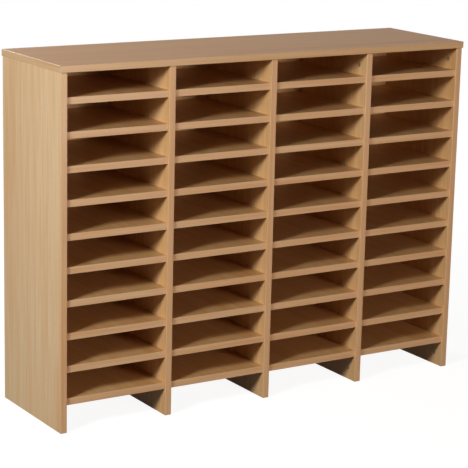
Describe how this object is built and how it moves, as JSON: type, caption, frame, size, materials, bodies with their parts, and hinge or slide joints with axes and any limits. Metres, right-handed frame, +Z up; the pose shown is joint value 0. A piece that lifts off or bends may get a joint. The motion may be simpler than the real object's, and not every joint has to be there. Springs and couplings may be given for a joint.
{
  "type": "pigeonhole mail sorter",
  "caption": "Floor-standing open-front grid of flat letter compartments in wood-effect board, with full-height uprights, housed shelves, a closed back and an overhanging top.",
  "frame": {"origin": "on the floor, under the middle of the bounding box", "axes": "+Z up, the open fronts face -Y, +X runs to the right along the width when the open fronts are faced"},
  "size_m": [1.254, 0.343, 0.948],
  "materials": {
    "beech_board": "beech-effect melamine facing, satin",
    "edge_banding": "beech-effect plastic edging",
    "cam_metal": "dull zinc",
    "bolt_steel": "bright zinc plate"
  },
  "bodies": {
    "root": {"left_side_panel": "beech_board", "divider_1": "beech_board", "divider_2": "beech_board", "divider_3": "beech_board", "right_side_panel": "beech_board", "shelf_c1_r01": "beech_board", "shelf_c1_r02": "beech_board", "shelf_c1_r03": "beech_board", "shelf_c1_r04": "beech_board", "shelf_c1_r05": "beech_board", "shelf_c1_r06": "beech_board", "shelf_c1_r07": "beech_board", "shelf_c1_r08": "beech_board", "shelf_c1_r09": "beech_board", "shelf_c1_r10": "beech_board", "shelf_c2_r01": "beech_board", "shelf_c2_r02": "beech_board", "shelf_c2_r03": "beech_board", "shelf_c2_r04": "beech_board", "shelf_c2_r05": "beech_board", "shelf_c2_r06": "beech_board", "shelf_c2_r07": "beech_board", "shelf_c2_r08": "beech_board", "shelf_c2_r09": "beech_board", "shelf_c2_r10": "beech_board", "shelf_c3_r01": "beech_board", "shelf_c3_r02": "beech_board", "shelf_c3_r03": "beech_board", "shelf_c3_r04": "beech_board", "shelf_c3_r05": "beech_board", "shelf_c3_r06": "beech_board", "shelf_c3_r07": "beech_board", "shelf_c3_r08": "beech_board", "shelf_c3_r09": "beech_board", "shelf_c3_r10": "beech_board", "shelf_c4_r01": "beech_board", "shelf_c4_r02": "beech_board", "shelf_c4_r03": "beech_board", "shelf_c4_r04": "beech_board", "shelf_c4_r05": "beech_board", "shelf_c4_r06": "beech_board", "shelf_c4_r07": "beech_board", "shelf_c4_r08": "beech_board", "shelf_c4_r09": "beech_board", "shelf_c4_r10": "beech_board", "back_panel": "beech_board", "top_panel": "beech_board", "upright_edging": "edge_banding", "shelf_edging_column_1": "edge_banding", "shelf_edging_column_2": "edge_banding", "shelf_edging_column_3": "edge_banding", "shelf_edging_column_4": "edge_banding", "top_panel_edging": "edge_banding", "top_cams": "cam_metal", "base_cams": "cam_metal", "top_cam_bolts": "bolt_steel"}
  },
  "joints": []
}
